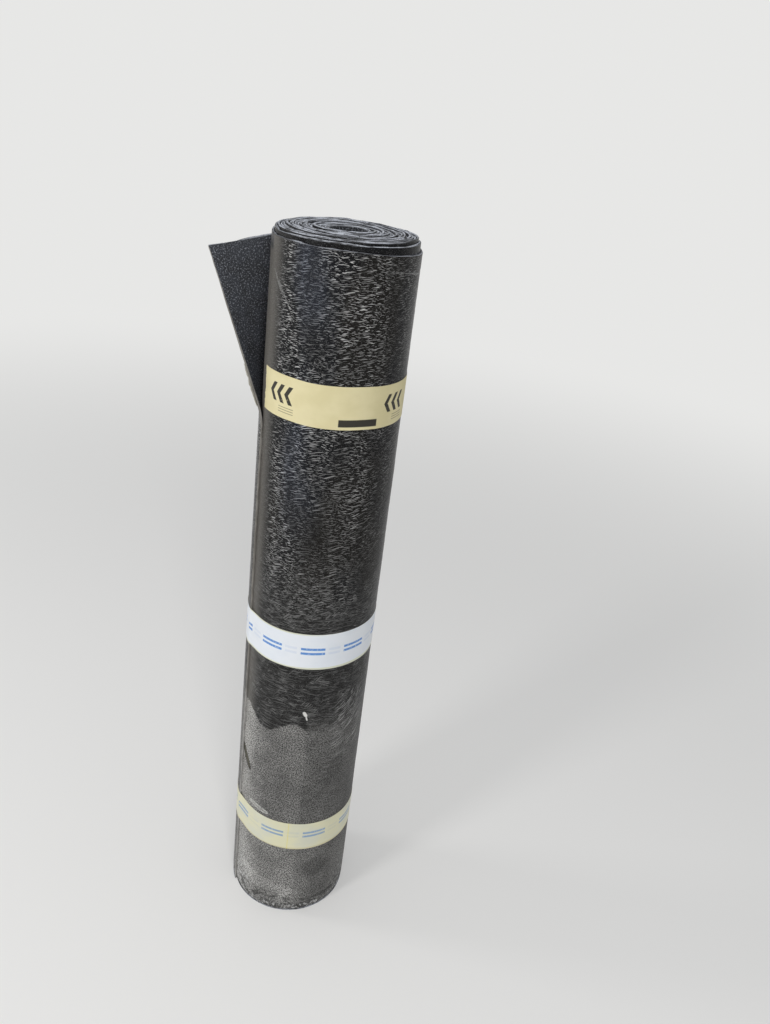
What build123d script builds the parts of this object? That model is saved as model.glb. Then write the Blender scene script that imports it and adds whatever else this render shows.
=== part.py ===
"""A roll of roofing felt standing on its end: one wound sheet whose outer corner has lifted, held by
a paper label and two tapes. Millimetres, +Z up along the roll's axis, origin on the axis at the
lower mouth of the bore. The outermost turn has slipped down, and stands lower than that."""

import os
from math import acos, atan2, cos, degrees, exp, radians, sin, sqrt

from build123d import *

# The wound sheet
sheet_width = 1000.0
sheet_thickness = 3.0
turn_gap = 0.05
turns = 22
outer_radius = 89.0
free_edge_angle = 201.4

# How far the outermost turn has slipped down the roll, over about how many turns that fades away,
# and how unevenly the ends of the other turns lie
slip_height = 9.5
slip_turns = 1.1
end_unevenness = 1.3

# The corner of the free end that has sprung off the roll
lift_height = 216.0
lift_length = 154.8
corner_drop = 36.0
lift_root = 2.0
lift_start = 0.1
lift_sections = 9

# The bands, each glued round the outermost turn. The label is placed below that turn's upper edge
# and the tapes above its lower one, and each tape climbs a little, in degrees, towards +X
band_clearance = 0.05
label_thickness = 0.35
label_below_top = 149.0
label_width = 52.0
tape_thickness = 0.30
middle_tape_height = 459.0
middle_tape_width = 55.0
middle_tape_climb = 1.45
lower_tape_height = 131.5
lower_tape_width = 50.0
lower_tape_climb = -1.3

pitch = sheet_thickness + turn_gap
bore_radius = outer_radius - turns * pitch

# The sheet's outside is a spiral of two half circles, with the free edge on +X until it is turned
# to its angle: the first half starts at the foot of the free edge, and the second ends on it
first_centre = -sheet_thickness / 4
first_radius = outer_radius - 3 * sheet_thickness / 4
second_centre = sheet_thickness / 4
second_radius = outer_radius - sheet_thickness / 4

# The two outermost turns are wound on the turned ones, which end just inside them
lap = sheet_thickness / 8
core_radius = outer_radius - 2 * sheet_thickness - lap


def turn_level(turn):
    """Level of a turn's lower edge. Turn 0 is the outermost, and the one round the bore is at 0."""
    slipped = slip_height * exp(-turn / slip_turns)
    if turn == 0:
        return -slipped
    return end_unevenness * sin(2.4 * (turns - 1 - turn)) * (1 - exp(-turn / slip_turns)) - slipped


foot_level = turn_level(0)
top_level = foot_level + sheet_width


def turned_core():
    """The inner turns, as one turned solid with a step from each turn to the next at both ends."""
    lower, upper = [], []
    for turn in range(2, turns):
        inner = outer_radius - (turn + 1) * pitch
        outer = core_radius if turn == 2 else outer_radius - turn * pitch
        level = turn_level(turn)
        lower += [(outer, level), (inner, level)]
        upper += [(outer, level + sheet_width), (inner, level + sheet_width)]
    section = make_face(Polyline(*upper, *reversed(lower), close=True).edges())
    return revolve(Plane.XZ * section, Axis.Z)


def spiral_disc(depth):
    """The outline of the wound sheet, `depth` inside its outermost face."""
    first, second = first_radius - depth, second_radius - depth
    step = Line((second_centre + second, 0), (first_centre + first, 0))
    halves = [
        CenterArc((first_centre, 0), first, 0, 180),
        CenterArc((second_centre, 0), second, 180, 180),
    ]
    return make_face(halves + [step])


def upright(face, low, high):
    """A solid of one outline from one level to another."""
    return Pos(0, 0, low) * extrude(face, high - low)


def outer_turns():
    """The two outermost turns, which end in the free edge's step. The outer one hangs lowest."""
    core = make_face([CenterArc((0, 0), core_radius, 0, 360)])
    next_foot, next_top = turn_level(1), turn_level(1) + sheet_width
    hanging = upright(spiral_disc(0) - spiral_disc(sheet_thickness + lap), foot_level, next_foot)
    both = upright(spiral_disc(0) - core, next_foot, top_level)
    standing = upright(spiral_disc(sheet_thickness) - core, top_level, next_top)
    return hanging + (both - lifted_room()) + standing


def lifted_row(share):
    """One row of the lifted corner, `share` of the way up it: the angle at which the sheet leaves
    the roll, and the inner face's points there and at the free edge."""
    inner_radius = second_radius - sheet_thickness + turn_gap
    centre = Vector(second_centre, 0, 0)
    foot = centre + Vector(inner_radius, 0, top_level - lift_height)
    top_angle = -lift_length / outer_radius
    reach = sqrt(lift_length**2 - corner_drop**2)
    corner = centre + Vector(
        inner_radius * cos(top_angle) - reach * sin(top_angle),
        inner_radius * sin(top_angle) + reach * cos(top_angle),
        top_level - corner_drop,
    )
    edge = foot + (corner - foot) * share
    away = edge - centre
    distance = sqrt(away.X**2 + away.Y**2)
    leave = atan2(away.Y, away.X) - acos(inner_radius / distance)
    start = centre + Vector(inner_radius * cos(leave), inner_radius * sin(leave), 0)
    return leave, Vector(start.X, start.Y, top_level - lift_height * (1 - share)), edge


def row_directions(leave):
    """Unit vectors at a row's start: out from the roll, and along the sheet as it leaves."""
    return Vector(cos(leave), sin(leave), 0), Vector(-sin(leave), cos(leave), 0)


def row_shares():
    """Shares up the lifted corner, closer together at its foot, where it curls fastest."""
    steps = lift_sections - 1
    return [((lift_start * (steps - k) + k) / steps) ** 2 for k in range(lift_sections)]


def quad(*points):
    """A flat face with four corners."""
    return make_face(Polyline(*points, close=True).edges())


def lifted_slab(low, high, root):
    """A layer of the lifted corner between two depths out from its inner face, with its root
    reaching back into the roll."""
    sections = []
    for share in row_shares():
        leave, start, edge = lifted_row(share)
        out, along = row_directions(leave)
        back = start - along * root
        sections.append(quad(back + out * low, edge + out * low, edge + out * high, back + out * high))
    return loft(sections)


def lifted_room():
    """The place in the outermost turn that the lifted corner has left empty."""
    reach = 2 * outer_radius
    sections = []
    for share in row_shares():
        leave, start, _ = lifted_row(share)
        out, along = row_directions(leave)
        inside, outside = start - out * reach, start + out * 2 * sheet_thickness
        sections.append(quad(inside, outside, outside + along * reach, inside + along * reach))
    above = sections[-1].moved(Location((0, 0, sheet_thickness)))
    room = loft(sections) + loft([sections[-1], above])
    beyond_edge = Pos(0, reach, top_level) * Box(4 * reach, 2 * reach, 2 * sheet_width)
    turn_below = upright(spiral_disc(sheet_thickness), foot_level, top_level + 2 * sheet_thickness)
    return room - beyond_edge - turn_below


def lifted_corner():
    """The corner of the free end that stands off the roll, with its root inside the outer turn."""
    return lifted_slab(0, sheet_thickness - 2 * turn_gap, lift_root)


def felt_roll():
    """The wound sheet as one solid."""
    return turned_core() + outer_turns() + lifted_corner()


def band_outline(offset):
    """The outline of a band round the roll, which runs straight down over the free edge's step."""
    radius, crest = first_radius + offset, second_centre + second_radius + offset
    touch = acos(radius / (crest - first_centre))
    landing = (first_centre + radius * cos(touch), radius * sin(touch))
    lower = CenterArc((first_centre, 0), radius, degrees(touch), 180 - degrees(touch))
    upper = CenterArc((second_centre, 0), second_radius + offset, 180, 180)
    return make_face([lower, upper, Line((crest, 0), landing)])


def band(low, width, thickness, climb=0.0):
    """A band glued round the outermost turn, with its edges cut square or at a slight climb."""
    outline = band_outline(band_clearance + thickness) - band_outline(band_clearance)
    spare = width / 4
    ring = upright(outline, low - spare, low + width + spare)
    turn, slope = radians(-free_edge_angle), radians(climb)
    square_to = Vector(-sin(slope) * cos(turn), -sin(slope) * sin(turn), cos(slope))
    for level, side in ((low, Keep.TOP), (low + width, Keep.BOTTOM)):
        ring = split(ring, Plane(origin=(0, 0, level), z_dir=square_to), side)
    return ring


def label_band():
    """The paper label. It is torn at the free edge, and follows the lifted corner's outside."""
    low = top_level - label_below_top - label_width
    depth = sheet_thickness - turn_gap + 2 * band_clearance
    lifted = lifted_slab(depth, depth + label_thickness, label_thickness)
    lift_foot = top_level - lift_height
    for level, side in ((low, Keep.TOP), (low + label_width, Keep.BOTTOM)):
        inset = label_thickness if side == Keep.TOP else -label_thickness
        share = max(row_shares()[0], (level + inset - lift_foot) / lift_height)
        leave, start, edge = lifted_row(share)
        out, _ = row_directions(leave)
        lifted = split(lifted, Plane(start, edge - start, out.cross(edge - start)), side)
    return band(low, label_width, label_thickness) - lifted_room() + lifted


def middle_tape():
    """The white tape round the roll's middle."""
    low = foot_level + middle_tape_height
    return band(low, middle_tape_width, tape_thickness, middle_tape_climb)


def lower_tape():
    """The tan tape near the floor."""
    low = foot_level + lower_tape_height
    return band(low, lower_tape_width, tape_thickness, lower_tape_climb)


def save(shape, name):
    """Turns a piece so that the free edge lies at its angle, and writes it."""
    export_step(Rot(0, 0, free_edge_angle) * shape, f"parts/{name}.step")


os.makedirs("parts", exist_ok=True)
for piece in (felt_roll, label_band, middle_tape, lower_tape):
    save(piece(), piece.__name__)
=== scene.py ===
"""Dresses the roll of roofing felt: the sheet as it is wound, with its cut edges, crinkled film and sprung
corner, and the paper label and two tapes round it. Metres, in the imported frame."""

from math import atan2, cos, hypot, pi, radians, sin, sqrt, tan

import bmesh
import bpy
import numpy as np
from mathutils import Matrix, Vector

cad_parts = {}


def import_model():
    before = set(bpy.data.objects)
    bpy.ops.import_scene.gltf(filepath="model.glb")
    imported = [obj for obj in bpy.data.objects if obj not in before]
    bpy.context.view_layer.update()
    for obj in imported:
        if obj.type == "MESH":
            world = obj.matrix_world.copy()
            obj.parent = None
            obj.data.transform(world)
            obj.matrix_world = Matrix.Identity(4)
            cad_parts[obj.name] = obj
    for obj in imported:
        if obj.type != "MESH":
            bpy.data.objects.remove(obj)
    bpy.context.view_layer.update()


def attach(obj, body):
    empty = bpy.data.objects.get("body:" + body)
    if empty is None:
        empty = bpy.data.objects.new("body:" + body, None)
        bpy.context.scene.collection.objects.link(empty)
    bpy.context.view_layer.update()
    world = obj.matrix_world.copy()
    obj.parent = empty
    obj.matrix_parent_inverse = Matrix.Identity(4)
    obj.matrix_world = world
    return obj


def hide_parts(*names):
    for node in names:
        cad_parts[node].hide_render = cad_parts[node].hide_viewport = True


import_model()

# The wound sheet, as in the part
width = 1.0
thickness = 0.003
pitch = 0.00305
turns = 22
outer_radius = 0.089
free_edge_angle = radians(201.4)
slip_height = 0.0095
slip_turns = 1.1
unevenness = 0.0013
lift_height = 0.216
lift_length = 0.1548
corner_drop = 0.036
floor_level = -slip_height

# The bands, as in the part: how far up the sheet each one's lower edge lies, its width and its climb
label_low, label_width = 0.799, 0.052
middle_tape_low, middle_tape_width, middle_tape_climb = 0.459, 0.055, radians(1.45)
lower_tape_low, lower_tape_width, lower_tape_climb = 0.1315, 0.05, radians(-1.3)

# Where the sheet ends, as the angle wound back from the free edge, and about its radius there
wound = 21.35 * 2 * pi
bore_radius = 0.022

# The cut edges' bevels, the depth of the gaps between the turns and of their wider mouths, the angle over
# which the sheet is open behind the free edge, and the share that eases the lifted corner's foot
bevel = 0.0006
gap_depth = 0.0085
lip = 0.003
tuck = 0.36
ease = 0.075


def smooth(value):
    """A soft step from 0 to 1 while the value goes from 0 to 1."""
    t = np.clip(value, 0.0, 1.0)
    return t * t * (3 - 2 * t)


def hashed(column, row, seed):
    """Scattered values from -1 to 1, always the same for the same whole numbers."""
    n = (column * 374761393 + row * 668265263 + seed * 362437) & 0xFFFFFFFF
    n = ((n ^ (n >> 13)) * 1274126177) & 0xFFFFFFFF
    return ((n ^ (n >> 16)) & 0xFFFF) / 32767.5 - 1.0


def noise(x, y, seed):
    """Smooth noise from -1 to 1, with a cell of 1."""
    x, y = np.broadcast_arrays(np.asarray(x, float), np.asarray(y, float))
    column, row = np.floor(x).astype(np.int64), np.floor(y).astype(np.int64)
    fx, fy = smooth(x - column), smooth(y - row)
    low = hashed(column, row, seed) * (1 - fx) + hashed(column + 1, row, seed) * fx
    high = hashed(column, row + 1, seed) * (1 - fx) + hashed(column + 1, row + 1, seed) * fx
    return low * (1 - fy) + high * fy


# Places on the sheet: phi is the angle wound back from the free edge, w the height up the sheet


def arc(phi):
    """Length along the sheet from its free edge."""
    return phi * (outer_radius - pitch * phi / (4 * pi))


def phi_at(length):
    """The angle wound back from the free edge at a length along the sheet."""
    return 2 * pi * (outer_radius - np.sqrt(outer_radius**2 - length * pitch / pi)) / pitch


def turn_level(turn):
    """Level of a turn's lower edge, as in the part."""
    turn = np.maximum(turn, 0)
    slipped = slip_height * np.exp(-turn / slip_turns)
    uneven = unevenness * np.sin(2.4 * (turns - 1 - turn)) * (1 - np.exp(-turn / slip_turns))
    return np.where(turn == 0, -slipped, uneven - slipped)


def foot(phi):
    """Level of the sheet's lower edge. It climbs from one turn's level to the next, and wanders a little."""
    turn = np.floor(phi / (2 * pi))
    share = smooth((phi / (2 * pi) - turn) * 4)
    level = turn_level(turn - 1) * (1 - share) + turn_level(turn) * share
    free = smooth((phi / (2 * pi) - 1) * 2)
    wander = 0.0011 * noise(arc(phi) / 0.1, turn * 0.37, 11) + 0.0004 * noise(arc(phi) / 0.03, turn, 12)
    return level + free * wander


def trim(phi, w):
    """How much narrower the sheet is cut along the outermost turn's upper edge, towards its right side."""
    past = 360 - np.degrees(phi)
    sunk = smooth((past - 50) / 110) * (1 - smooth((past - 170) / 120))
    return 0.0055 * sunk * (phi < 2 * pi) * smooth((w - 0.9) / 0.1)


def lifted_share(w):
    """How far up the lifted corner a height is, eased at its foot."""
    share = (w - (width - lift_height)) / lift_height
    near = np.clip(share + ease, 0, 2 * ease) ** 2 / (4 * ease)
    return np.where(share > ease, share, near)


def lifted_reach(w):
    """The angle at which the sheet leaves the roll at a height, and its length from there."""
    share = lifted_share(w)
    inner = outer_radius - thickness
    top_angle = -lift_length / outer_radius
    reach = sqrt(lift_length**2 - corner_drop**2)
    corner_x = inner * cos(top_angle) - reach * sin(top_angle)
    corner_y = inner * sin(top_angle) + reach * cos(top_angle)
    x, y = inner + (corner_x - inner) * share, corner_y * share
    distance = np.hypot(x, y)
    leave = np.zeros_like(distance)
    for _ in range(8):
        inner_there = inner - pitch * leave / (2 * pi)
        leave = np.arccos(np.minimum(inner_there / distance, 1.0)) - np.arctan2(y, x)
    return leave, np.sqrt(np.maximum(distance**2 - inner_there**2, 0))


def gape(w):
    """How far the free edge stands off between the places that are held down."""
    held = ((0.0, 0.02), (lower_tape_low, lower_tape_width), (middle_tape_low, middle_tape_width))
    open_by = np.ones_like(w)
    for low, tall in held:
        away = np.maximum(np.maximum(low - w, w - low - tall), 0)
        open_by = open_by * smooth(away / 0.07)
    fade = 1 - smooth((w - (width - lift_height - 0.06)) / 0.06)
    return 0.00012 * open_by * fade


def on_sheet(phi, w, depth):
    """The place in space of a point of the sheet, depth in from its outer face."""
    phi, w, depth = np.broadcast_arrays(*(np.asarray(value, float) for value in (phi, w, depth)))
    share = lifted_share(w)
    leave, length = lifted_reach(w)
    near_edge = np.clip(1 - phi / tuck, 0, 1) ** 2
    radius = outer_radius - pitch * phi / (2 * pi) - depth + gape(w) * near_edge * (leave < 0.02)
    x, y = radius * np.cos(-phi), radius * np.sin(-phi)
    z = foot(phi) + w - trim(phi, w)
    sprung = (phi < leave) & (leave > 1e-6)
    along = 1 - phi / np.where(sprung, leave, 1)
    inner = outer_radius - thickness - pitch * leave / (2 * pi)
    out = thickness - depth + 0.0035 * np.sin(pi * along) * share * noise(w / 0.11, along * 1.7, 13)
    sprung_x = (inner + out) * np.cos(-leave) - length * along * np.sin(-leave)
    sprung_y = (inner + out) * np.sin(-leave) + length * along * np.cos(-leave)
    x, y = np.where(sprung, sprung_x, x), np.where(sprung, sprung_y, y)
    z = z - np.where(sprung, corner_drop * share * along, 0)
    turned = free_edge_angle
    return np.stack([x * cos(turned) - y * sin(turned), x * sin(turned) + y * cos(turned), z], -1)


def swell(phi, w):
    """Soft swells of the outermost turn, which the bands follow."""
    s = arc(phi)
    free = smooth((phi - 0.5) / 0.5) * smooth((2 * pi - 0.1 - phi) / 0.5)
    rim = smooth(w / 0.012)
    swells = 0.0004 * noise(s / 0.085, w / 0.17, 21) + 0.00022 * noise(s / 0.04, w / 0.06, 22)
    return swells * free * rim


def crinkles(phi, w):
    """Wrinkles of the film, all inwards from the swells, and the rounded wear of the lower rim."""
    s = arc(phi)
    wandering = w + 0.0025 * noise(s / 0.035, w / 0.03, 23)
    ridge = np.abs(noise(s / 0.016, wandering / 0.0065, 24))
    small = np.abs(noise(s / 0.009, wandering / 0.0042, 25))
    worn = smooth((0.011 - w) / 0.011) ** 1.5
    chip = np.maximum(noise(s / 0.012, w / 0.02, 26) - 0.2, 0) * smooth((0.009 - w) / 0.008)
    lying = smooth((2 * pi - phi) / 0.12) * smooth(phi / 0.05)
    wrinkles = 0.0002 * (1 - ridge) ** 2 + 0.0001 * (1 - small)
    return -wrinkles * lying - 0.002 * worn - 0.0011 * chip - dent(s, w)


def bead(phi, w):
    """The film's rise against the foot of the free edge, where it is held down."""
    leave, _ = lifted_reach(w)
    close = smooth(1 - (2 * pi - phi) / 0.03) ** 2
    return 0.0006 * close * (leave < 1e-6) * smooth((w - gap_depth) / 0.01)


def segment_distance(s, w, start, end):
    """How far a place is from a straight mark, and how far along the mark it is."""
    ds, dw = end[0] - start[0], end[1] - start[1]
    share = np.clip(((s - start[0]) * ds + (w - start[1]) * dw) / (ds * ds + dw * dw), 0, 1)
    return np.hypot(s - start[0] - ds * share, w - start[1] - dw * share), share


def dent(s, w):
    """Depth of the slit by the free edge and of the small fold in the film."""
    slit, along = segment_distance(s, w, (0.551, 0.2785), (0.5255, 0.2495))
    fold, share = segment_distance(s, w, (0.4545, 0.37), (0.4385, 0.35))
    depth = 0.0013 * np.exp(-((slit / 0.0022) ** 2)) * np.sin(pi * np.clip(along, 0.02, 0.98))
    return depth + 0.0007 * np.exp(-((fold / 0.002) ** 2)) * (1 - share * 0.3)


def cut_edge(phi, depth, top, seed):
    """How far a cut edge stands out of its plane: its roughness, and at the top its small steps."""
    s = arc(phi)
    rough = 0.0003 * noise(s / 0.0055, depth / 0.0011 + phi / (2 * pi) * 2.7, seed)
    crown = 0.00025 * (1 - ((depth - thickness / 2) / (thickness / 2)) ** 2)
    steps = 0.0009 * noise(s / 0.028, np.floor(phi / (2 * pi)) * 3.1, seed + 1) * (phi > 0.2)
    ragged = 0.0012 * noise(s / 0.022, 0.5, seed + 2) * (phi < 2 * pi)
    return rough + crown + (steps + ragged if top else 0)


def cell_corners(grid):
    """The four corner values of each cell of a grid, in order round the cell."""
    return np.stack([grid[:-1, :-1], grid[1:, :-1], grid[1:, 1:], grid[:-1, 1:]], 2)


class Build:
    """Gathers a closed mesh from grids and strips of triangles, with each corner's place on the sheet."""

    def __init__(self):
        self.points, self.count = [], 0
        self.faces, self.places, self.regions = [], [], []

    def add(self, points):
        """Adds points of any grid shape and returns their numbers in that shape."""
        flat = points.reshape(-1, 3)
        self.points.append(flat)
        self.count += len(flat)
        return np.arange(self.count - len(flat), self.count).reshape(points.shape[:-1])

    def patch(self, numbers, places, region):
        """Quads over a grid. Places has the same shape with two values more."""
        quads = cell_corners(numbers).reshape(-1, 4)
        spots = np.stack([cell_corners(places[..., axis]) for axis in (0, 1)], -1).reshape(-1, 4, 2)
        for quad, spot in zip(quads.tolist(), spots.tolist()):
            self.face(quad, spot, region)

    def face(self, corners, spots, region):
        """One face, less any corner that it repeats."""
        kept = [k for k, c in enumerate(corners) if c != corners[k - 1]]
        if len({corners[k] for k in kept}) > 2:
            self.faces.append([corners[k] for k in kept])
            self.places.extend(spots[k] for k in kept)
            self.regions.append(region)

    def strip(self, one, one_at, one_spots, other, other_at, other_spots, region):
        """Triangles between two lines of points, matched by their positions along them."""
        i = j = 0
        while i < len(one) - 1 or j < len(other) - 1:
            if j == len(other) - 1 or (i < len(one) - 1 and one_at[i + 1] <= other_at[j + 1]):
                corners = (one[i], one[i + 1], other[j])
                spots = (one_spots[i], one_spots[i + 1], other_spots[j])
                i += 1
            else:
                corners = (one[i], other[j + 1], other[j])
                spots = (one_spots[i], other_spots[j + 1], other_spots[j])
                j += 1
            self.face([int(c) for c in corners], [tuple(p) for p in spots], region)

    def finish(self, name, materials, kinds=(0, 1), bake_place=None):
        """Makes the object, with its faces turned outwards. Kinds gives each region's material."""
        mesh = bpy.data.meshes.new(name)
        mesh.from_pydata(np.concatenate(self.points).tolist(), [], self.faces)
        places = np.array(self.places, np.float32)
        mesh.uv_layers.new(name="sheet").data.foreach_set("uv", places.ravel())
        mesh.polygons.foreach_set("material_index", [kinds[r] for r in self.regions])
        if bake_place:
            sizes = [len(corners) for corners in self.faces]
            there = bake_place(np.array(self.places), np.array(self.regions), np.array(sizes))
            mesh.uv_layers.new(name="OFBake").data.foreach_set("uv", there.ravel())
        for material in materials:
            mesh.materials.append(material)
        work = bmesh.new()
        work.from_mesh(mesh)
        loose = [v for v in work.verts if not v.link_faces]
        bmesh.ops.delete(work, geom=loose, context="VERTS")
        bmesh.ops.recalc_face_normals(work, faces=work.faces)
        work.to_mesh(mesh)
        work.free()
        mesh.polygons.foreach_set("use_smooth", [True] * len(mesh.polygons))
        mesh.set_sharp_from_angle(angle=radians(52))
        thing = bpy.data.objects.new(name, mesh)
        bpy.context.scene.collection.objects.link(thing)
        return thing


FILM, SAND, CUT, TRIMMED = range(4)
OUTER, UNDER, INSIDE, BORE, EDGE, ENDING = range(6)
TOP_CUT, TOP_OUTSIDE, TOP_INSIDE, LOW_CUT, LOW_OUTSIDE, LOW_INSIDE = range(6, 12)
region_kinds = [FILM, FILM, SAND, SAND, TRIMMED, CUT, CUT, FILM, SAND, CUT, FILM, SAND]


def spots_of(phi, w):
    """Places on the sheet for a grid of points, as length along it and height up it."""
    phi, w = np.broadcast_arrays(phi, w)
    return np.stack([arc(phi), w], -1)


def paired(one, other):
    """Two sets of values as one grid of pairs."""
    return np.stack(np.broadcast_arrays(one, other), -1)


def tucked(w):
    """Where the sheet's inner face meets the turn below, as phi."""
    leave, _ = lifted_reach(w)
    return np.maximum(tuck, leave + 0.06)


# The first and last column of the sheet, the points across a cut edge, and three sets of rows up the sheet.
# The coarse and the few rows have one below the lower gaps' floors, and two above the upper gaps' floors
first, last = bevel / outer_radius, wound - bevel / bore_radius
depths = np.linspace(bevel, thickness - bevel, 4)
low_gap, high_gap, high_lip, high_bevel = gap_depth, width - gap_depth, width - lip, width - bevel
fine = np.unique(np.r_[
    bevel, 0.0015, 0.0028, 0.0042, 0.0058, 0.0076, np.linspace(low_gap, high_gap, 474),
    width - 0.0055, high_lip, high_bevel,
])
coarse = np.unique(np.r_[
    bevel, np.linspace(low_gap, 0.74, 24), np.linspace(0.74, high_gap, 50), high_lip, high_bevel
])
few = np.array([bevel, low_gap, 0.03, 0.1, 0.3, 0.7, 0.9, 0.97, high_gap, high_lip, high_bevel])


class FeltSheet(Build):
    """The sheet as one closed skin: the outer face once round and under the sprung corner, the corner's
    inner face, the bore's wall, and both ends, where each turn's cut edge stands between two gaps."""

    def __init__(self):
        super().__init__()
        self.outer_face()
        self.below_corner()
        self.free_edge()
        self.bore_wall()
        for top in (True, False):
            self.end(top)

    def outer_face(self):
        """The outer face, to where it goes under the free edge."""
        near = 2 * pi - np.array([0.016, 0.006, 0])
        phi, w = np.r_[np.linspace(first, 2 * pi - 0.03, 100), near][None, :], fine[:, None]
        self.outer = self.add(on_sheet(phi, w, -(swell(phi, w) + crinkles(phi, w) + bead(phi, w))))
        self.outer_phi = phi[0]
        self.outer_spots = spots_of(phi, w)
        self.patch(self.outer, self.outer_spots, OUTER)

    def below_corner(self):
        """The turn below the sprung corner, and the corner's inner face, which meet in a crease."""
        share, w = np.linspace(0, 1, 23)[None, :], coarse[:, None]
        self.under_phi = 2 * pi + 0.02 + (tucked(w) - 0.02) * share
        swelling = 1 + noise(arc(self.under_phi) / 0.02, w / 0.02, 31)
        under_depth = 0.00005 + 0.0002 * swelling * np.sin(pi * share) * (1 - share)
        self.under = self.add(on_sheet(self.under_phi, w, under_depth))
        self.inside_phi = first + (tucked(w) - first) * share
        self.inside = self.add(on_sheet(self.inside_phi, w, thickness - 0.00002 * (1 - share)))
        self.under[1:-2, -1] = self.inside[1:-2, -1]
        under_spots = spots_of(self.under_phi, w)
        self.patch(self.under, under_spots, UNDER)
        self.patch(self.inside, spots_of(self.inside_phi, w), INSIDE)
        self.strip(
            self.outer[:, -1], fine, self.outer_spots[:, -1],
            self.under[:, 0], coarse, under_spots[:, 0], OUTER,
        )

    def free_edge(self):
        """The sheet's free edge, a little rough."""
        w = coarse[:, None]
        rough = 0.00025 * noise(w / 0.006, depths / 0.001, 32) + 0.0005 * noise(w / 0.03, 0, 33)
        self.edge = self.add(on_sheet(-(0.0004 + np.maximum(rough, -0.0003)) / outer_radius, w, depths))
        edge_spots = paired(depths, w)
        self.patch(self.edge, edge_spots, EDGE)
        near_spots, far_spots = paired(0.0, fine), paired(thickness, coarse)
        edge = self.edge
        self.strip(self.outer[:, 0], fine, near_spots, edge[:, 0], coarse, edge_spots[:, 0], EDGE)
        spots = np.stack([edge_spots[:, -1], far_spots], 1)
        self.patch(np.stack([edge[:, -1], self.inside[:, 0]], 1), spots, EDGE)

    def bore_wall(self):
        """The bore's wall, and the inner end of the sheet."""
        w = few[:, None]
        self.bore_phi = np.linspace(last - 2 * pi, last, 61)[None, :]
        self.bore = self.add(on_sheet(self.bore_phi, w, thickness))
        self.patch(self.bore, spots_of(self.bore_phi, w), BORE)
        self.ending = self.add(on_sheet(wound, w, depths))
        ending_spots = paired(depths, w)
        self.behind = self.bore[:, 0].copy()
        by_the_gaps = [0, -2, -1]
        self.behind[by_the_gaps] = self.add(on_sheet(last, few[by_the_gaps], 0.00003))
        joined = np.c_[self.behind, self.ending, self.bore[:, -1]]
        self.patch(joined, ending_spots[:, [0, 0, 1, 2, 3, 3]], ENDING)

    def end(self, top):
        """One end of the roll: a row of points round each cut edge, the gaps' walls and their floors."""
        spacing, seed, outwards = (0.0028, 41, 1) if top else (0.0056, 51, -1)
        level = width if top else 0.0
        picked, leans = ([-3, -2, -1], [0.0, 0.00006, 0.00022]) if top else ([1, 0], [0.0, 0.00022])
        heights = few[picked]
        regions = (TOP_CUT, TOP_OUTSIDE, TOP_INSIDE) if top else (LOW_CUT, LOW_OUTSIDE, LOW_INSIDE)
        cut_region, outside_region, inside_region = regions
        stations = phi_at(np.linspace(arc(first), arc(last), int(arc(last) / spacing)))
        across = np.linspace(bevel, thickness - bevel, 4 if top else 3)

        # The cut edges
        grid = stations[:, None]
        rise = cut_edge(grid, across, top, seed) * outwards
        if not top:
            rise = np.where(grid < 2 * pi, np.maximum(rise, 0), rise)
        face = self.add(on_sheet(grid, level + rise, across))
        face_spots = paired(arc(grid), level + across)
        self.patch(face, face_spots, cut_region)

        def wall(from_phi, to_phi, start, finish, outside):
            """The wall of a gap along the sheet, from its first column of points to its last."""
            places = stations[(stations > from_phi + 0.02) & (stations < to_phi - 0.02)]
            uneven = noise(arc(places)[:, None] / 0.012, 0.0 if outside else 5.0, seed + 5)
            lean = np.array(leans)[None, :] * (1 + 0.7 * uneven)
            own = self.add(on_sheet(places[:, None], heights, lean if outside else thickness - lean))
            numbers = np.r_[start[None, :], own, finish[None, :]]
            at = np.r_[from_phi, places, to_phi]
            spots = spots_of(at[:, None], heights)
            self.patch(numbers, spots, outside_region if outside else inside_region)
            return numbers, at, spots

        # The gaps' walls and floors
        from_phi, to_phi = tucked(heights[0]), last - 2 * pi
        inner_end, outside_end = self.bore[picked, 0], self.behind[picked]
        outside, outside_at, _ = wall(2 * pi + from_phi, last, self.under[picked, -1], outside_end, True)
        inner, inner_at, inner_spots = wall(from_phi, to_phi, self.inside[picked, -1], inner_end, False)
        turn_below = outside_at - 2 * pi
        spots = paired(arc(turn_below), heights[0] - outwards * 0.0034)
        self.strip(inner[:, 0], inner_at, inner_spots[:, 0], outside[:, 0], turn_below, spots, inside_region)

        # The bevels between the cut edges and the sheet's two faces
        line = -1 if top else 0
        out_line = np.r_[self.outer[line], self.under[line], outside[1:, -1]]
        out_at = np.r_[self.outer_phi, self.under_phi[line], outside_at[1:]]
        in_line = np.r_[self.inside[line], inner[1:, -1], self.bore[line, 1:]]
        in_at = np.r_[self.inside_phi[line], inner_at[1:], self.bore_phi[0, 1:]]
        for column, numbers, at, depth in ((0, out_line, out_at, 0), (-1, in_line, in_at, thickness)):
            spots = paired(arc(at), level + depth)
            self.strip(numbers, at, spots, face[:, column], stations, face_spots[:, column], cut_region)

        # The corners by the free edge and by the sheet's inner end
        for column, block, outside_corner, inside_corner in (
            (0, self.edge, self.outer[line, 0], self.inside[line, 0]),
            (-1, self.ending, self.behind[line], self.bore[line, -1]),
        ):
            rim, rim_spots = face[column], face_spots[column]
            end_spots = paired(arc(stations[column]), level + depths)
            self.strip(rim, across, rim_spots, block[line], depths, end_spots, cut_region)
            for corner, k in ((outside_corner, 0), (inside_corner, -1)):
                corners = [int(number) for number in (corner, rim[k], block[line, k])]
                self.face(corners, [tuple(rim_spots[k])] * 3, cut_region)


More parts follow.
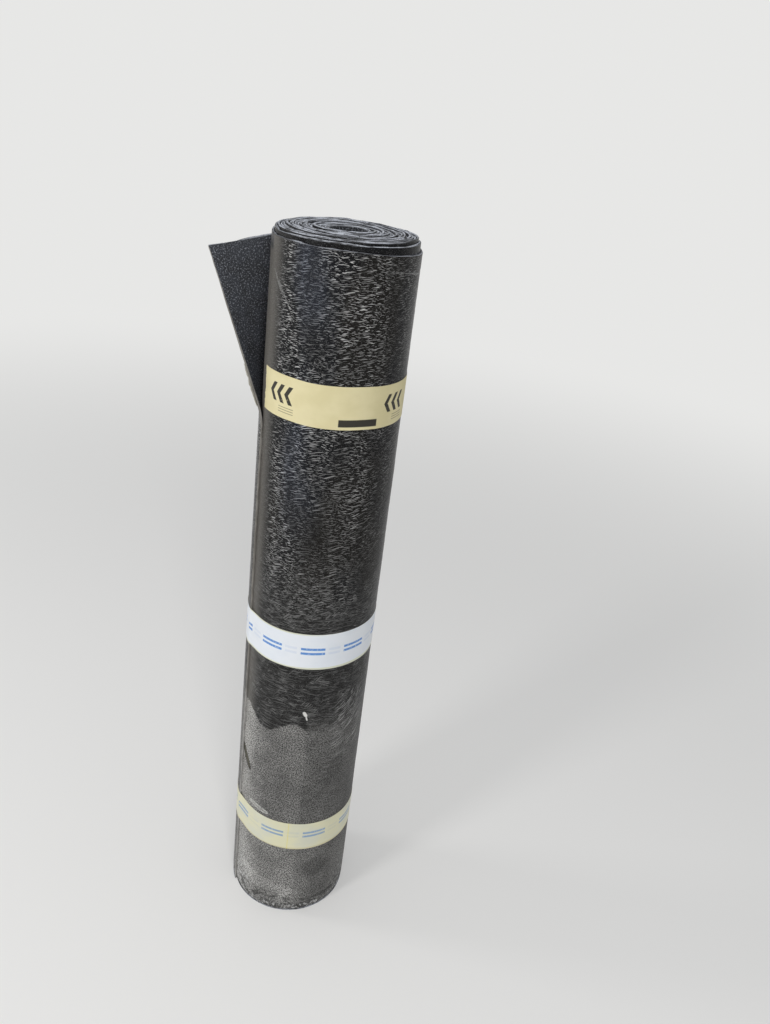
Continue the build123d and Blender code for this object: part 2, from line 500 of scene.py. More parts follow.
def felt_bake_place(places, regions, sizes):
    """Where each corner lies on the felt's bake map: the outer face fills most of it, the sprung corner's
    faces lie beside that, and the ends are rows on the right, one set for each turn."""
    per_metre, margin, pixel = 0.985, 0.0075, 1 / 1024
    region = np.repeat(regions, sizes)
    s, w = places[:, 0], places[:, 1]
    u, v = margin / 2 + s * per_metre, margin + w * per_metre
    beside = {
        UNDER: (0.56 + (s - arc(2 * pi)) * per_metre, v),
        INSIDE: (0.78 - s * per_metre, 1 - v),
        BORE: (0.786 + (s - arc(wound - 2 * pi)) * 0.1, v),
        EDGE: (0.808 + s * 2 * per_metre, v),
        ENDING: (0.82 + s * per_metre, v),
    }
    for name, (there_u, there_v) in beside.items():
        u, v = np.where(region == name, there_u, u), np.where(region == name, there_v, v)
    starts = np.r_[0, np.cumsum(sizes)[:-1]]
    middle = np.repeat(np.add.reduceat(s, starts) / sizes, sizes)
    turn = np.floor(phi_at(np.clip(middle, 0, arc(wound))) / (2 * pi))
    row_u = 0.83 + (s - arc(2 * pi * turn)) * 0.29
    from_end = np.minimum(np.abs(w), np.abs(w - width))
    gap_share = np.minimum(from_end / gap_depth, 1.4)
    cut_share = from_end / thickness

    # For each region of the ends: where its rows start, the pixels from turn to turn, those below the
    # region's own row and up it, and how far up it a corner lies
    rows = {
        TOP_CUT: (0.5, 23, 0, 8, cut_share), TOP_OUTSIDE: (0.5, 23, 10, 6, gap_share),
        TOP_INSIDE: (0.5, 23, 18, 3, gap_share), LOW_CUT: (0.01, 19, 0, 6, cut_share),
        LOW_OUTSIDE: (0.01, 19, 8, 4, gap_share), LOW_INSIDE: (0.01, 19, 14, 3, gap_share),
    }
    for name, (low, step, offset, tall, share) in rows.items():
        row_v = low + (turn * step + offset + share * tall) * pixel
        u, v = np.where(region == name, row_u, u), np.where(region == name, row_v, v)
    return np.stack([u, v], -1).astype(np.float32)


class Nodes:
    """Short ways to write the nodes of one material."""

    def __init__(self, name):
        self.material = bpy.data.materials.new(name)
        self.material.use_nodes = True
        self.tree = self.material.node_tree
        self.shader = self.tree.nodes["Principled BSDF"]

    def feed(self, socket, value):
        if isinstance(value, bpy.types.NodeSocket):
            self.tree.links.new(value, socket)
        else:
            socket.default_value = value

    def node(self, kind, inputs, out=0, **settings):
        made = self.tree.nodes.new(kind)
        for key, value in settings.items():
            setattr(made, key, value)
        for key, value in inputs.items():
            self.feed(made.inputs[key], value)
        return made.outputs[out]

    def sheet(self):
        """The place on the sheet, its length along the sheet and its height up it."""
        place = self.node("ShaderNodeUVMap", {}, uv_map="sheet")
        return place, self.apart(place, 0), self.apart(place, 1)

    def apart(self, vector, axis):
        return self.node("ShaderNodeSeparateXYZ", {0: vector}, axis)

    def joined(self, x, y):
        return self.node("ShaderNodeCombineXYZ", {0: x, 1: y})

    def scaled(self, vector, x, y):
        return self.node("ShaderNodeVectorMath", {0: vector, 1: (x, y, 1.0)}, operation="MULTIPLY")

    def turned(self, vector, angle):
        return self.node("ShaderNodeVectorRotate", {"Vector": vector, "Angle": angle}, rotation_type="Z_AXIS")

    def moved(self, vector, offset):
        return self.node("ShaderNodeVectorMath", {0: vector, 1: offset}, operation="ADD")

    def noise(self, vector, x, y, detail=2.0, roughness=0.5):
        vector = self.scaled(vector, x, y)
        inputs = {"Vector": vector, "Scale": 1.0, "Detail": detail, "Roughness": roughness}
        return self.node("ShaderNodeTexNoise", inputs, noise_dimensions="2D")

    def math(self, operation, a, b=0.0, c=0.0):
        return self.node("ShaderNodeMath", {0: a, 1: b, 2: c}, operation=operation)

    def times(self, first, *others):
        """The product of several values."""
        for other in others:
            first = self.math("MULTIPLY", first, other)
        return first

    def plus(self, a, b):
        return self.math("ADD", a, b)

    def most(self, a, b):
        return self.math("MAXIMUM", a, b)

    def linear(self, value, factor, offset):
        return self.math("MULTIPLY_ADD", value, factor, offset)

    def off(self, value, middle):
        """How far a value is from another, either way."""
        return self.math("ABSOLUTE", self.plus(value, -middle))

    def repeated(self, value, period):
        return self.math("FLOORED_MODULO", value, period)

    def ramp(self, value, low, high, start=0.0, end=1.0):
        inputs = {"Value": value, "From Min": low, "From Max": high, "To Min": start, "To Max": end}
        return self.node("ShaderNodeMapRange", inputs, interpolation_type="SMOOTHSTEP")

    def mix(self, share, a, b):
        """Colour a, or colour b by its share."""
        a, b = (c if isinstance(c, bpy.types.NodeSocket) else (*c, 1.0) for c in (a, b))
        return self.node("ShaderNodeMix", {0: share, 6: a, 7: b}, 2, data_type="RGBA")

    def line(self, vector, start, end, half_width, fade=0.4, taper=4.0):
        """1 on a straight mark between two places, thinning out at its ends."""
        (s, w), (end_s, end_w) = start, end
        mark = self.moved(vector, (-(s + end_s) / 2, -(w + end_w) / 2, 0.0))
        mark = self.turned(mark, -atan2(end_w - w, end_s - s))
        mark = self.scaled(mark, 2 / hypot(end_s - s, end_w - w), 1 / half_width)
        along = self.math("POWER", self.off(self.apart(mark, 0), 0.0), taper)
        aside = self.math("POWER", self.off(self.apart(mark, 1), 0.0), 2.0)
        return self.ramp(self.plus(along, aside), 1.0 - fade, 1.0 + fade, 1.0, 0.0)

    def box(self, x, y, left, right, low, high, soft=0.0004):
        """1 inside a box on the sheet, with slightly soft edges."""
        return self.times(
            self.ramp(x, left - soft, left + soft), self.ramp(x, right + soft, right - soft),
            self.ramp(y, low - soft, low + soft), self.ramp(y, high + soft, high - soft),
        )

    def bump(self, height):
        made = self.node("ShaderNodeBump", {"Height": height, "Distance": 1.0, "Strength": 1.0})
        self.feed(self.shader.inputs["Normal"], made)

    def finish(self, colour, roughness, specular=0.5):
        self.feed(self.shader.inputs["Base Color"], colour)
        self.feed(self.shader.inputs["Roughness"], roughness)
        self.shader.inputs["Specular IOR Level"].default_value = specular
        return self.material


def ragged_places(n, place):
    """The places on the sheet, shifted a little here and there, for marks with ragged outlines."""
    inputs = {"Vector": n.scaled(place, 130, 130), "Detail": 2.0}
    shift = n.node("ShaderNodeTexNoise", inputs, "Color", noise_dimensions="2D")
    reach = 0.006
    inputs = {0: shift, 1: (reach, reach, 0.0), 2: place}
    shifted = n.node("ShaderNodeVectorMath", inputs, operation="MULTIPLY_ADD")
    return n.moved(shifted, (-reach / 2, -reach / 2, 0.0))


def film_crinkles(n, place, s, w):
    """Painted glints: where the film's short crinkles across the roll would catch the light, painted into its
    colour as light dashes that also raise a bump. Also its fainter painted glints lower down, its dots, its
    grain, and how smooth it is."""
    w_wavy = n.plus(w, n.times(n.noise(place, 28, 33), 0.01))
    across_roll, staggered = n.joined(s, w_wavy), n.joined(n.linear(w, 2.5, s), w_wavy)
    long_dash = n.ramp(n.noise(staggered, 120, 1020, detail=0), 0.675, 0.765)
    short_dash = n.ramp(n.noise(staggered, 270, 1400, detail=0), 0.71, 0.79)
    # Painted highlight bands: soft upright bands where the painted glints are brighter
    painted_highlight_bands = n.ramp(n.noise(across_roll, 30, 12, detail=3), 0.32, 0.64, 0.42, 1.0)
    smoother = n.ramp(n.noise(place, 15, 8), 0.34, 0.54, 0.45, 1.0)
    # Painted shade: the glints fade on the right side, which is turned from the lamps
    painted_shade_right = n.ramp(n.off(s, 0.345), 0.065, 0.025)
    # How strong the painted glints are: set by the painted highlight bands, fewer by the free edge and lower
    # down, and faded by painted shade on the right
    painted_glint_strength = n.times(
        n.ramp(s, 0.533, 0.508, 0.12, 1.0), smoother, painted_highlight_bands, n.linear(painted_shade_right, -0.65, 1.0),
        n.ramp(w, 0.5, 0.61, 0.16, 1.0), n.ramp(w, 0.62, 0.82, 0.58, 1.0),
    )
    # Painted glints: the light dashes of the crinkles
    painted_glint = n.times(n.most(long_dash, n.times(short_dash, 0.9)), painted_glint_strength)
    # Fainter painted glints of the crinkles lower down
    faint_painted_glint = n.ramp(n.noise(across_roll, 45, 900, detail=1), 0.58, 0.68)
    faint_painted_glint = n.times(faint_painted_glint, n.ramp(w, 0.64, 0.54))
    grain = n.noise(place, 900, 1000, detail=0)
    return painted_glint, faint_painted_glint, n.ramp(grain, 0.7, 0.78), grain, smoother


def film_black(n, place, s, w, speck, bared):
    """The film's blacks, with a patchy painted bluish highlight high up, from the front towards the left, and
    a pale painted sheen by the free edge, and where that bluish highlight lies.
    """
    tint = n.noise(n.moved(n.scaled(place, 11, 4), (7.3, 2.1, 0)), 1, 1)
    brown = n.linear(n.ramp(s, 0.47, 0.42), 0.16, tint)
    # Painted reflection: a paler bluish band high up, from the front towards the left, in patches
    painted_blue_highlight = n.times(
        n.ramp(s, 0.44, 0.47), n.ramp(s, 0.515, 0.49), n.ramp(tint, 0.35, 0.6), n.ramp(w, 0.6, 0.8)
    )
    black = n.mix(n.ramp(brown, 0.5, 0.66), (0.0035, 0.0037, 0.0045), (0.008, 0.007, 0.0058))
    black = n.mix(painted_blue_highlight, black, (0.018, 0.0205, 0.028))
    black = n.mix(n.ramp(w, 0.62, 0.52), black, (0.015, 0.0145, 0.014))
    # Painted sheen: a pale strip by the free edge, where the film is seen at a grazing angle
    painted_sheen = n.times(n.ramp(s, 0.516, 0.546), n.ramp(speck, 0.3, 0.6, 0.55, 1.0), bared)
    return n.mix(painted_sheen, black, (0.124, 0.115, 0.101)), painted_blue_highlight


def hair_lines(n, place, turn, along, across):
    """Fine scratches that run at an angle over the sheet, here and there."""
    turned = n.turned(place, turn)
    line = n.ramp(n.off(n.noise(turned, along, across, detail=1), 0.5), 0.02, 0.004)
    return n.times(line, n.ramp(n.noise(turned, 70, 40, detail=1), 0.5, 0.62))


def scuff_marks(n, s, w):
    """Curved scuffs near the right side, above the dust: streaks along arcs round one centre."""
    from_s, from_w = n.plus(s, -0.44), n.plus(w, -0.462)
    radius = n.math("SQRT", n.plus(n.times(from_s, from_s), n.times(from_w, from_w)))
    bearing = n.math("ARCTAN2", from_w, from_s)
    polar = n.joined(n.times(radius, 560), n.times(bearing, 5.0))
    streak = n.ramp(n.noise(polar, 1, 1, roughness=0.6), 0.57, 0.66)
    return n.times(streak, n.box(s, w, 0.345, 0.4, 0.305, 0.41, 0.014))


def dust_cover(n, place, s, w, speck, bared):
    """How thickly the dust lies: up to a wandering line, which is hazy on the right, and thicker lower."""
    level = n.linear(n.math("COSINE", n.times(n.plus(s, -0.457), 73.9)), 0.011, 0.353)
    ragged = n.linear(n.noise(place, 160, 160), 0.006, -0.003)
    sharp = n.ramp(n.plus(n.math("SUBTRACT", w, level), ragged), 0.0018, -0.0018)
    hazy = n.linear(n.noise(place, 22, 9, detail=3), 0.05, w)
    hazy = n.ramp(hazy, 0.415, 0.365, 0.0, 0.7)
    cover = n.node("ShaderNodeMix", {0: n.ramp(s, 0.4335, 0.4405), 2: hazy, 3: sharp})
    density = n.plus(n.ramp(w, 0.22, 0.07, 0.6, 1.0), n.ramp(w, 0.27, 0.34, 0.0, 0.14))
    blotch = n.ramp(n.noise(place, 24, 22, detail=4, roughness=0.6), 0.36, 0.62, 0.68, 1.0)
    return n.times(cover, density, blotch, bared, n.ramp(speck, 0.34, 0.5, 0.55, 1.0))


def dust_colour(n, place, torn, s, w, speck):
    """The dust's speckled greys, rubbed at the rim, smeared and wiped in places, paler by the free edge,
    where the dust is thicker and painted light brightens the left side, and darkened by painted shade on the
    right side.
    """
    dusty = n.mix(n.ramp(speck, 0.4, 0.6), (0.045, 0.044, 0.042), (0.44, 0.432, 0.414))
    rubbed = n.ramp(n.noise(place, 60, 130, detail=3), 0.42, 0.6)
    rubbed = n.times(n.ramp(w, 0.05, 0.016), rubbed, 0.7)
    dusty = n.mix(rubbed, dusty, (0.03, 0.029, 0.028))
    # Paler by the free edge: thicker dust there, and on the left painted light where that side faces the
    # lamps
    dust_and_light_by_edge = n.most(n.ramp(s, 0.49, 0.54), n.ramp(s, 0.11, 0.0, 0.0, 0.75))
    smear = n.line(torn, (0.535, 0.06), (0.425, 0.03), 0.013, 0.9)
    wiped = n.line(torn, (0.412, 0.106), (0.398, 0.072), 0.017, 0.8)
    # The dust's brightness: painted light on the left, painted shade on the right side and back, and the
    # smear and the wiped mark
    light = n.times(
        n.linear(dust_and_light_by_edge, n.ramp(w, 0.05, 0.2, 0.5, 1.05), 1.0), n.ramp(s, 0.35, 0.45, 0.8, 1.0),
        n.linear(smear, 0.45, 1.0), n.linear(wiped, -0.4, 1.0),
    )
    return n.node("ShaderNodeVectorMath", {0: dusty, "Scale": light}, operation="SCALE")


def dust_flakes(n, colour, place, s, w):
    """Paints pale flakes over a colour, low on the roll's sides and along its rim."""
    by_side = n.most(n.ramp(s, 0.49, 0.535), n.ramp(s, 0.375, 0.345, 0.0, 0.5))
    flaked = n.most(n.times(n.ramp(w, 0.125, 0.02), by_side), n.ramp(w, 0.02, 0.006, 0.0, 0.8))
    flake = n.ramp(n.noise(place, 230, 150, detail=3, roughness=0.65), 0.552, 0.62)
    return n.mix(n.times(flake, flaked), colour, (0.6, 0.6, 0.59))


def film_marks(n, colour, place, torn, speck):
    """Paints the film's single marks over a colour, and gives where a scrap of clear film lies."""
    fleck = n.line(place, (0.445, 0.388), (0.4405, 0.38), 0.0023)
    fleck = n.most(fleck, n.line(place, (0.441, 0.38), (0.4392, 0.3735), 0.001))
    colour = n.mix(fleck, colour, (0.7, 0.69, 0.66))

    # The slit by the free edge: a dark band of painted shade over its shallow dent, with bare bitumen along
    # its middle
    slit = n.line(torn, (0.553, 0.281), (0.524, 0.2475), 0.006, 0.12, 1.7)
    colour = n.mix(slit, colour, (0.016, 0.015, 0.013))
    bitumen = n.line(torn, (0.55, 0.2775), (0.5265, 0.2505), 0.0044, 0.2, 1.7)
    colour = n.mix(n.times(bitumen, n.ramp(speck, 0.3, 0.55, 0.4, 1.0)), colour, (0.105, 0.098, 0.074))

    scrap = n.line(torn, (0.521, 0.1955), (0.484, 0.1905), 0.0036, 0.2)
    scrap_inside = n.line(torn, (0.52, 0.1955), (0.485, 0.1905), 0.0024, 0.3)
    scrap_rim = n.most(n.math("SUBTRACT", scrap, scrap_inside), 0.0)
    colour = n.mix(n.linear(scrap_rim, 0.75, n.times(scrap, 0.32)), colour, (0.6, 0.6, 0.56))

    scratch = n.line(torn, (0.543, 0.965), (0.521, 0.94), 0.0009)
    scratch = n.most(scratch, n.line(torn, (0.53, 0.954), (0.506, 0.926), 0.0008))
    scratch = n.most(scratch, n.line(torn, (0.395, 0.9835), (0.327, 0.9775), 0.0008))
    colour = n.mix(n.times(scratch, 0.45), colour, (0.4, 0.4, 0.39))

    chip = n.line(place, (0.4355, 0.005), (0.43, 0.0042), 0.0014)
    chip = n.most(chip, n.line(place, (0.397, 0.005), (0.3925, 0.0065), 0.0013))
    return n.mix(chip, colour, (0.62, 0.62, 0.61)), scrap


def film_material():
    """The glossy black film on the sheet's outside, with painted glints, a painted sheen and a painted bluish
    highlight in its colour, and the grey dust that covers its lower part.
    """
    n = Nodes("bitumen_film")
    place, s, w = n.sheet()
    torn = ragged_places(n, place)
    speck = n.noise(place, 520, 560, detail=3, roughness=0.75)
    under_edge = n.times(n.ramp(s, 0.549, 0.553), n.most(n.ramp(w, 0.98, 0.986), n.ramp(w, 0.018, 0.012)))
    bared = n.math("SUBTRACT", 1.0, under_edge)

    painted_glint, faint_painted_glint, dot, grain, smoother = film_crinkles(n, place, s, w)
    painted_glint = n.times(painted_glint, bared)
    black, painted_blue_highlight = film_black(n, place, s, w, speck, bared)
    colour = n.mix(n.times(dot, 0.36), black, (0.23, 0.23, 0.235))
    # Painted glints: the faint ones lower down, then the crinkles' light dashes, bluish within the painted
    # bluish highlight
    colour = n.mix(n.times(faint_painted_glint, 0.65), colour, (0.15, 0.149, 0.146))
    colour = n.mix(painted_glint, colour, n.mix(painted_blue_highlight, (0.7, 0.695, 0.68), (0.62, 0.66, 0.75)))
    hairs = n.most(hair_lines(n, place, 0.9, 25, 330), hair_lines(n, place, -0.35, 22, 300))
    hairs = n.times(hairs, n.ramp(w, 0.66, 0.56, 0.25, 1.0), 0.45)
    colour = n.mix(hairs, colour, (0.3, 0.298, 0.29))

    dust = dust_cover(n, place, s, w, speck, bared)
    colour = n.mix(dust, colour, dust_colour(n, place, torn, s, w, speck))
    colour = n.mix(n.times(scuff_marks(n, s, w), 0.75), colour, (0.42, 0.415, 0.405))
    colour = dust_flakes(n, colour, place, s, w)
    colour, scrap = film_marks(n, colour, place, torn, speck)

    rough = n.linear(dust, 0.4, n.linear(smoother, -0.1, 0.4))
    n.bump(n.plus(n.times(painted_glint, 0.0003), n.times(grain, 0.0002)))
    return n.finish(colour, n.linear(scrap, -0.25, rough), 0.09)


def sand_material():
    """The matt underside, sanded with fine dark grains."""
    n = Nodes("bitumen_sanded")
    place, _, _ = n.sheet()
    inputs = {"Vector": place, "Scale": 900.0}
    grain = n.node("ShaderNodeTexVoronoi", inputs, "Distance", voronoi_dimensions="2D")
    grit = n.noise(place, 480, 480, detail=3, roughness=0.75)
    cloud = n.noise(place, 40, 40, detail=3)
    colour = n.mix(n.ramp(cloud, 0.35, 0.65), (0.01, 0.0115, 0.015), (0.02, 0.023, 0.03))
    colour = n.mix(n.ramp(grit, 0.54, 0.7), colour, (0.24, 0.25, 0.28))
    n.bump(n.plus(n.times(grain, -0.0004), n.times(grit, 0.0006)))
    return n.finish(colour, n.ramp(grit, 0.3, 0.7, 0.85, 0.55))


def cut_material():
    """The cut edges of the turns: bitumen smeared along the cut, with pale dusty streaks."""
    n = Nodes("bitumen_cut")
    place, s, w = n.sheet()
    streak = n.noise(place, 38, 900, detail=3, roughness=0.6)
    long_streak = n.noise(place, 8, 330)
    crumb = n.noise(place, 600, 700, detail=3, roughness=0.65)
    depth = n.math("MINIMUM", n.off(w, 0.0), n.off(w, width))
    rim = 0.0006
    inner = n.times(n.ramp(depth, 0.0, rim), n.ramp(depth, thickness, thickness - rim))
    outermost = n.ramp(s, 0.56, 0.545)
    pale = n.times(
        n.ramp(streak, 0.39, 0.52, 0.08, 1.0), n.ramp(long_streak, 0.34, 0.5, 0.35, 1.0),
        n.linear(inner, 0.62, 0.38), n.linear(outermost, -0.35, 1.0),
    )
    colour = n.mix(pale, (0.014, 0.014, 0.016), (0.66, 0.69, 0.76))
    colour = n.mix(n.ramp(crumb, 0.52, 0.72, 0.0, 0.85), colour, (0.035, 0.035, 0.038))
    n.bump(n.plus(n.times(crumb, 0.0007), n.times(streak, 0.0004)))
    return n.finish(colour, 0.62)


def trimmed_material():
    """The sheet's free edge: a pale brownish grey, and paler with dust lower down."""
    n = Nodes("bitumen_trimmed")
    place, _, w = n.sheet()
    grain = n.noise(place, 500, 300)
    patch = n.ramp(n.noise(place, 100, 35, detail=3), 0.3, 0.7)
    rubbed = n.mix(patch, (0.15, 0.141, 0.126), (0.25, 0.237, 0.216))
    dusty = n.mix(patch, (0.24, 0.235, 0.223), (0.42, 0.41, 0.39))
    n.bump(n.times(grain, 0.0003))
    return n.finish(n.mix(n.ramp(w, 0.46, 0.3), rubbed, dusty), 0.55, 0.3)


def thin_skin(name, phi, low, high, rows, stand_off, wall, place, closed, materials):
    """A thin band, right round or open, over angles phi and heights from low to high at each angle."""
    made = Build()
    share = np.linspace(0, 1, rows)[None, :]
    angle = phi[:, None] + 0 * share
    w = low[:, None] + (high - low)[:, None] * share
    out = stand_off(angle, w)
    outer = made.add(place(angle, w, out + wall))
    inner = made.add(place(angle, w, out))
    spots = np.stack([arc(np.abs(angle)) * np.sign(angle), w - low[:, None]], -1)
    if closed:
        outer, inner, spots = (np.r_[a, a[:1]] for a in (outer, inner, spots))
        spots[-1, :, 0] = 0.0
    made.patch(outer, spots, 0)
    made.patch(inner, spots, 1)
    for line in (0, -1):
        made.patch(np.stack([outer[:, line], inner[:, line]], 1), np.stack([spots[:, line]] * 2, 1), 1)
        if not closed:
            made.patch(np.stack([outer[line], inner[line]], 1), np.stack([spots[line]] * 2, 1), 1)
    return made.finish(name, materials)


def film_level(phi, w):
    """How far the film stands out from the sheet's face, without its crinkles."""
    return swell(np.clip(phi, 0, 2 * pi), w)


def label_band():
    """The paper label, torn through at the free edge. It runs round the roll, and on over the sprung
    corner's outside, where a ragged strip of it stands past the edge."""
    phi = np.linspace(2 * pi - 0.012, -0.03, 300)
    low = np.full_like(phi, label_low) + 0.0004 * noise(phi * 3.0, 0, 61)
    high = low + label_width + 0.0002 * noise(phi * 4.0, 0, 62)

    def stand_off(angle, w):
        s = arc(np.abs(angle))
        wrinkle = 0.0003 * np.maximum(noise(s / 0.035 + w / 0.05, w / 0.012, 63), 0) ** 2
        wave = 0.00016 * (1 + noise(s / 0.05, w / 0.03, 64))
        return 0.00006 + wrinkle + wave

    def place(angle, w, out):
        torn_end = 0.0022 * noise(w / 0.006, 0, 65) + 0.0011 * noise(w / 0.0021, 0, 66)
        torn_start = 0.002 * noise(w / 0.007, 0, 67) + 0.001 * noise(w / 0.0023, 0, 68)
        near_start = smooth((angle - 2 * pi + 0.06) / 0.048)
        turned = angle + (smooth(-angle / 0.03) * torn_end - near_start * np.abs(torn_start)) / outer_radius
        return on_sheet(np.minimum(turned, 2 * pi), w, -(film_level(turned, w) + out))

    looks = [label_material(), paper_back()]
    return thin_skin("label_band_paper", phi, low, high, 27, stand_off, 0.00016, place, False, looks)


def tape_band(name, low, tape_width, climb, seed, materials):
    """A tape right round the outermost turn, stretched straight over the free edge's step."""
    columns = 280
    phi = 2 * pi * (1 - np.arange(columns) / columns)
    x = outer_radius * np.cos(free_edge_angle - phi)
    level = low + tan(climb) * x + 0.0003 * noise(phi * 1.5, 0, seed)
    touch = np.arccos((outer_radius - pitch) / outer_radius)

    def stand_off(angle, w):
        s = arc(angle)
        return 0.00006 + 0.00012 * np.maximum(noise(s / 0.03, w / 0.016, seed + 1), 0) ** 2

    def place(angle, w, out):
        past = 2 * pi - angle
        bridge = (past < touch) & (past >= 0)
        chord = outer_radius * np.cos(touch) / np.cos(touch - past)
        on_roll = outer_radius - pitch * angle / (2 * pi)
        radius = np.where(bridge, np.maximum(chord, on_roll), on_roll) + film_level(angle, w) + out
        turned = free_edge_angle - angle
        return np.stack([radius * np.cos(turned), radius * np.sin(turned), w - slip_height], -1)

    return thin_skin(name, phi, level, level + tape_width, 17, stand_off, 0.00018, place, True, materials)


def label_material():
    """Cream paper, printed with broad arrows that show the way to unroll, thin rules and bare dark plates."""
    n = Nodes("label_paper")
    place, s, up = n.sheet()
    fibre = n.noise(place, 900, 500, detail=3)
    cloud = n.noise(place, 30, 40, detail=3)
    colour = n.mix(n.ramp(cloud, 0.3, 0.7), (0.74, 0.66, 0.38), (0.79, 0.71, 0.43))
    along = n.repeated(n.plus(s, -0.035), 0.152)
    aside = n.off(up, 0.029)
    leaning = n.plus(n.linear(aside, 0.62, along), -0.008)
    arrow = n.ramp(n.off(n.repeated(leaning, 0.0125), 0.0045), 0.0032, 0.0028)
    arrow = n.times(arrow, n.box(leaning, aside, 0.0005, 0.0375, -1.0, 0.011, 0.0002))
    plate = n.box(along, up, 0.05, 0.098, 0.0036, 0.0124)
    rules = n.ramp(n.off(n.repeated(up, 0.003), 0.0015), 0.0006, 0.0004)
    rules = n.times(rules, n.box(along, up, 0.001, 0.024, 0.0065, 0.015), 0.55)
    worn = n.ramp(n.noise(place, 320, 320, detail=3), 0.22, 0.36, 0.55, 1.0)
    short_of_end = n.ramp(s, 0.534, 0.5335)
    ink = n.times(n.most(n.times(n.most(arrow, rules), worn), plate), short_of_end, 0.985)
    n.bump(n.times(fibre, 0.00006))
    return n.finish(n.mix(ink, colour, (0.018, 0.016, 0.014)), 0.6, 0.35)


def paper_back():
    """The label's uncoated side and torn edges."""
    n = Nodes("label_paper_back")
    place, _, _ = n.sheet()
    fibre = n.noise(place, 700, 700, detail=3)
    n.bump(n.times(fibre, 0.0001))
    return n.finish(n.mix(fibre, (0.62, 0.58, 0.48), (0.78, 0.76, 0.7)), 0.85, 0.2)


def tape_materials(name, base, cloudy, glue, print_colour, strength, period, start, crease, back):
    """Plastic tape with pairs of plain printed dashes and fainter ones between, its yellowed glue along the
    edges, and a crease across it (a place below 0 leaves that out). Then its underside and edges."""
    n = Nodes(name + "_film")
    place, s, up = n.sheet()
    cloud = n.noise(place, 25, 40, detail=3)
    colour = n.mix(n.ramp(cloud, 0.35, 0.7), base, cloudy)
    along, aside = n.repeated(n.plus(s, -start), period), n.off(up, 0.0285)
    dashes = n.box(along, aside, 0.0, period * 0.55, 0.0016, 0.0052)
    faint = n.box(along, aside, period * 0.64, period * 0.92, 0.0016, 0.0052)
    worn = n.ramp(n.noise(place, 420, 420), 0.25, 0.45, 0.45, 1.0)
    ink = n.times(n.most(dashes, n.times(faint, 0.12)), worn, strength)
    colour = n.mix(ink, colour, print_colour)
    wander = n.times(n.noise(place, 9, 0, detail=1), 0.0048)
    edge = n.ramp(n.math("SUBTRACT", up, wander), 0.0006, 0.0)
    left_top = n.times(n.ramp(up, 0.0528, 0.0534), n.ramp(s, 0.4, 0.47))
    colour = n.mix(n.times(n.most(edge, left_top), 0.8), colour, glue)
    creased = n.box(s, up, crease - 0.0006, crease + 0.0006, -1.0, 1.0)
    colour = n.mix(n.times(creased, 0.8), colour, (0.8, 0.7, 0.22))
    n.bump(n.times(n.noise(place, 160, 90), 0.00008))
    film = n.finish(colour, 0.38, 0.4)
    n = Nodes(name + "_edge")
    place, _, _ = n.sheet()
    cloud = n.noise(place, 300, 300, detail=3)
    return [film, n.finish(n.mix(cloud, back, tuple(c * 0.8 for c in back)), 0.6, 0.3)]


felt_materials = [film_material(), sand_material(), cut_material(), trimmed_material()]
felt_roll = FeltSheet().finish("felt_roll_wound", felt_materials, region_kinds, felt_bake_place)
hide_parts("felt_roll")
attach(felt_roll, "root")

label = label_band()
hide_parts("label_band")
white_looks = tape_materials(
    "white_tape", (0.83, 0.86, 0.9), (0.79, 0.83, 0.88), (0.7, 0.71, 0.52), (0.03, 0.22, 0.62),
    strength=0.9, period=0.0585, start=0.0145, crease=-1.0, back=(0.62, 0.58, 0.42),
)
white_tape = tape_band(
    "middle_tape_film", middle_tape_low, middle_tape_width, middle_tape_climb, 71, white_looks
)
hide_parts("middle_tape")
tan_looks = tape_materials(
    "tan_tape", (0.74, 0.715, 0.5), (0.67, 0.67, 0.54), (0.66, 0.6, 0.36), (0.12, 0.28, 0.55),
    strength=0.75, period=0.064, start=0.01, crease=0.451, back=(0.5, 0.46, 0.3),
)
tan_tape = tape_band("lower_tape_film", lower_tape_low, lower_tape_width, lower_tape_climb, 81, tan_looks)
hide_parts("lower_tape")
for piece in (label, white_tape, tan_tape):
    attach(piece, "root")


backdrop = (0.8, 0.8, 0.79)


def seen_directly(tree):
    """1 for rays from the camera and for those that gloss reflects."""
    path, seen = tree.nodes.new("ShaderNodeLightPath"), tree.nodes.new("ShaderNodeMath")
    seen.operation = "MAXIMUM"
    tree.links.new(path.outputs["Is Camera Ray"], seen.inputs[0])
    tree.links.new(path.outputs["Is Glossy Ray"], seen.inputs[1])
    return seen.outputs[0]


def floor():
    """The plain pale floor."""
    mesh = bpy.data.meshes.new("floor")
    reach = 30.0
    sides = ((-reach, -reach), (reach, -reach), (reach, reach), (-reach, reach))
    mesh.from_pydata([(x, y, floor_level) for x, y in sides], [], [(0, 1, 2, 3)])
    n = Nodes("plain_floor")
    place = n.node("ShaderNodeTexCoord", {}, out="Object")
    away = n.node("ShaderNodeVectorMath", {0: place}, out="Value", operation="LENGTH")
    far = n.ramp(away, 0.8, 3.5)
    n.shader.inputs["Emission Color"].default_value = (*backdrop, 1.0)
    n.feed(n.shader.inputs["Emission Strength"], n.times(seen_directly(n.tree), n.linear(far, 0.8, 0.2)))
    mesh.materials.append(n.finish(n.mix(far, (0.72, 0.71, 0.69), (0.0, 0.0, 0.0)), 0.9, 0.0))
    thing = bpy.data.objects.new("floor", mesh)
    bpy.context.scene.collection.objects.link(thing)


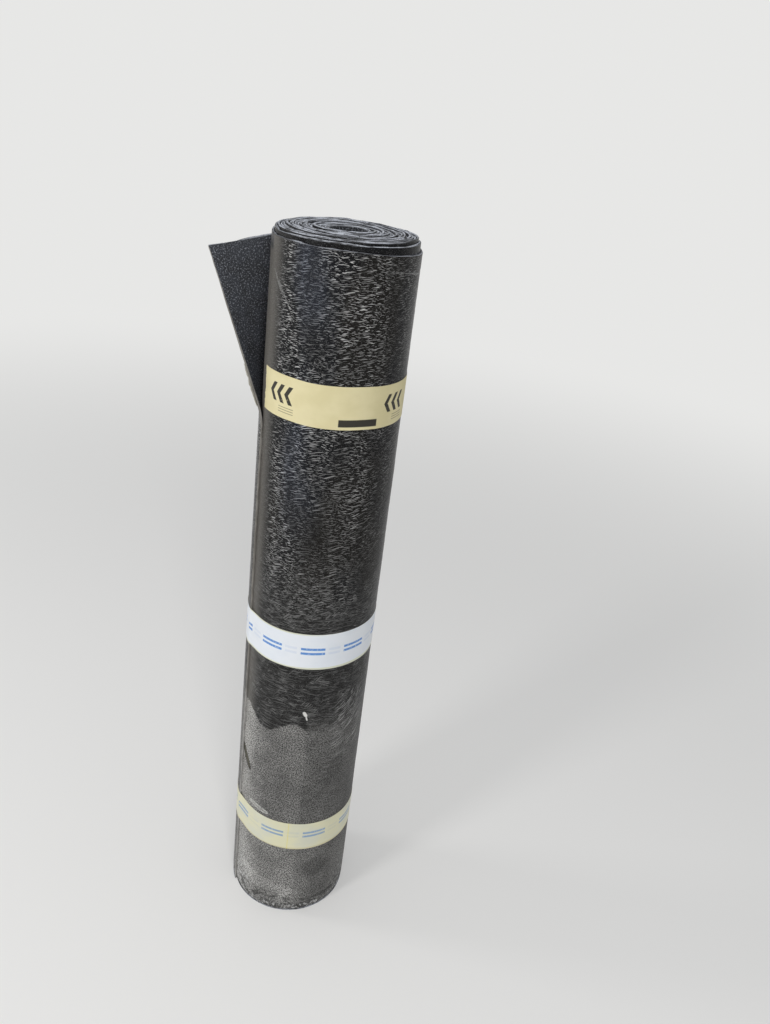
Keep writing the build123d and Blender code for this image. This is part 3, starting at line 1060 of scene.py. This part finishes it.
def lamp(name, azimuth, height, away, size, radiance):
    """A soft lamp at an angle from +X, which faces the roll's middle."""
    data = bpy.data.lights.new(name, "AREA")
    data.shape, data.size, data.size_y = "RECTANGLE", *size
    data.energy = radiance * pi * size[0] * size[1]
    thing = bpy.data.objects.new(name, data)
    place = Vector((away * cos(radians(azimuth)), away * sin(radians(azimuth)), height))
    thing.location = place
    thing.rotation_mode = "QUATERNION"
    thing.rotation_quaternion = (Vector((0, 0, width / 2)) - place).to_track_quat("-Z", "Y")
    bpy.context.scene.collection.objects.link(thing)


def world():
    """Even light from all round, and a pale background."""
    made = bpy.data.worlds.new("studio")
    made.use_nodes = True
    tree = made.node_tree
    tree.nodes.clear()
    output, mix = tree.nodes.new("ShaderNodeOutputWorld"), tree.nodes.new("ShaderNodeMixShader")
    even, pale = tree.nodes.new("ShaderNodeBackground"), tree.nodes.new("ShaderNodeBackground")
    for light, colour, strength in ((even, (0.95, 0.97, 1.0), 0.5), (pale, backdrop, 1.0)):
        light.inputs["Color"].default_value = (*colour, 1.0)
        light.inputs["Strength"].default_value = strength
    tree.links.new(seen_directly(tree), mix.inputs["Fac"])
    tree.links.new(even.outputs[0], mix.inputs[1])
    tree.links.new(pale.outputs[0], mix.inputs[2])
    tree.links.new(mix.outputs[0], output.inputs["Surface"])
    bpy.context.scene.world = made


def camera():
    """The photograph's camera."""
    pan, tilt, roll = radians(4.627), radians(25.871), radians(-7.429)
    focal, long_side = 868.4, 1024
    ahead = Vector((sin(pan) * cos(tilt), cos(pan) * cos(tilt), -sin(tilt)))
    level_right = ahead.cross(Vector((0, 0, 1))).normalized()
    level_down = ahead.cross(level_right)
    right = cos(roll) * level_right + sin(roll) * level_down
    down = -sin(roll) * level_right + cos(roll) * level_down
    data = bpy.data.cameras.new("camera")
    data.sensor_fit, data.sensor_width = "AUTO", 36.0
    data.lens = focal / long_side * data.sensor_width
    data.clip_start, data.clip_end = 0.01, 100
    thing = bpy.data.objects.new("camera", data)
    axes = Matrix((right, -down, -ahead)).transposed().to_4x4()
    axes.translation = Vector((0, -1.0261, 1.1575 - slip_height))
    thing.matrix_world = axes
    bpy.context.scene.collection.objects.link(thing)
    bpy.context.scene.camera = thing


floor()
world()
camera()
lamp("left", 172, 1.3, 2.2, (0.4, 1.8), 4.0)
lamp("key", 222, 1.4, 2.2, (0.4, 1.9), 7.0)
lamp("front", 280, 1.9, 2.4, (0.5, 1.2), 11.0)
bpy.context.scene.view_settings.view_transform = "Standard"
